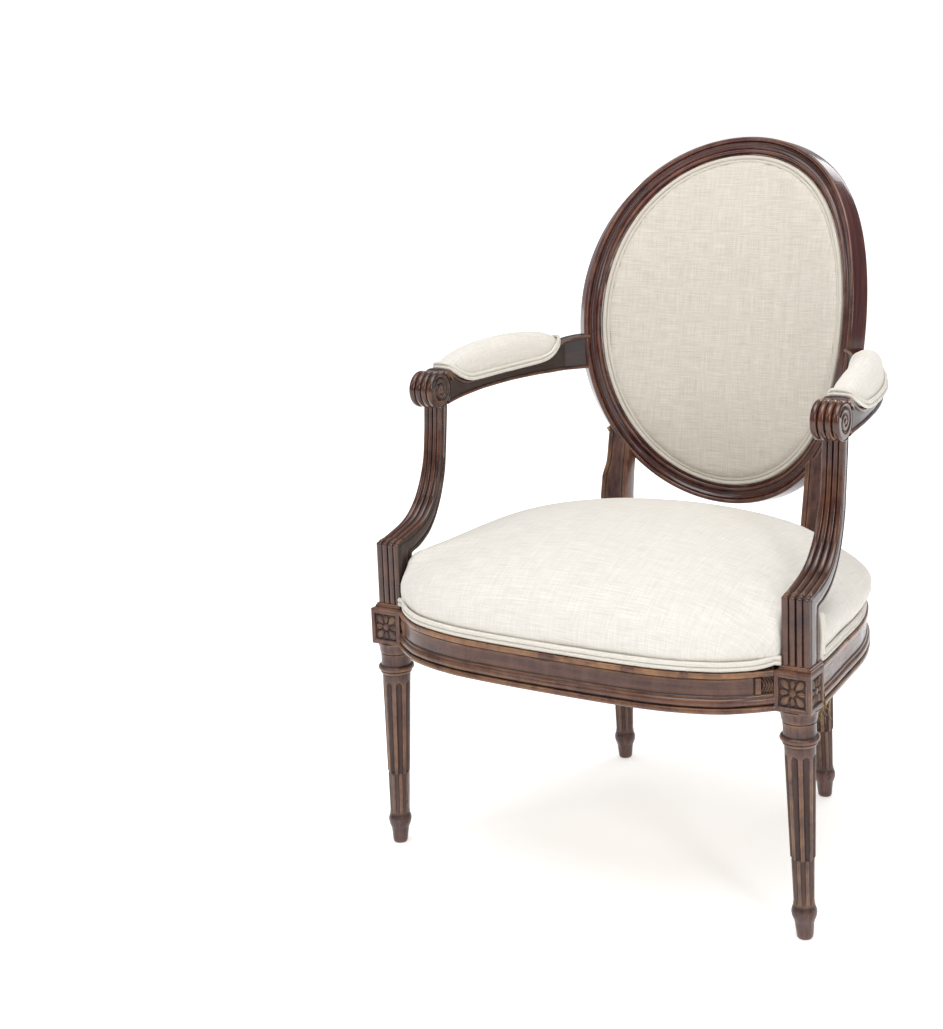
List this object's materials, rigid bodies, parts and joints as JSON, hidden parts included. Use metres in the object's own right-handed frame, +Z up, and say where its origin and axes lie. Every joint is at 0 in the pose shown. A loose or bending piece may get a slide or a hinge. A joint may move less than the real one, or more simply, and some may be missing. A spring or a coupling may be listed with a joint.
{
  "type": "upholstered open armchair",
  "caption": "Open armchair with an oval concave padded back, padded arms on swept supports, a domed bow-front seat and turned fluted legs.",
  "frame": {"origin": "on the floor under the middle of the chair's box", "axes": "+Z up, the chair faces -Y, +X is the sitter's left"},
  "size_m": [0.6076, 0.6086, 0.8997],
  "materials": {
    "wood": "waxed dark red-brown walnut, worn golden brown on edges",
    "inner_wood": "raw beech",
    "linen": "oatmeal plain-weave linen",
    "piping": "double piping covered in the same linen",
    "hessian": "open-weave hessian",
    "webbing": "twilled jute webbing",
    "stuffing": "curled hair",
    "tack": "blued iron tacks"
  },
  "bodies": {
    "root": {"arm_cover_left": "linen", "arm_cover_right": "linen", "arm_dowels": "inner_wood", "arm_stuffing_left": "stuffing", "arm_stuffing_right": "stuffing", "arm_support_left": "wood", "arm_support_right": "wood", "armrest_left": "wood", "armrest_right": "wood", "back_cover": "linen", "back_crest": "wood", "back_frame_dowels": "inner_wood", "back_hessian": "hessian", "back_leg_left": "wood", "back_leg_right": "wood", "back_lower_rail": "wood", "back_rail": "wood", "back_side_left": "wood", "back_side_right": "wood", "back_stuffing": "stuffing", "back_webbing": "webbing", "back_welt": "piping", "corner_blocks": "inner_wood", "front_leg_left": "wood", "front_leg_right": "wood", "front_rail": "wood", "outside_back_cover": "linen", "outside_back_welt": "piping", "rail_pegs": "inner_wood", "seat_cover": "linen", "seat_hessian": "hessian", "seat_stuffing": "stuffing", "seat_webbing": "webbing", "seat_welt": "piping", "side_rail_left": "wood", "side_rail_right": "wood", "under_cloth": "hessian", "under_cloth_tacks": "tack"}
  },
  "joints": []
}
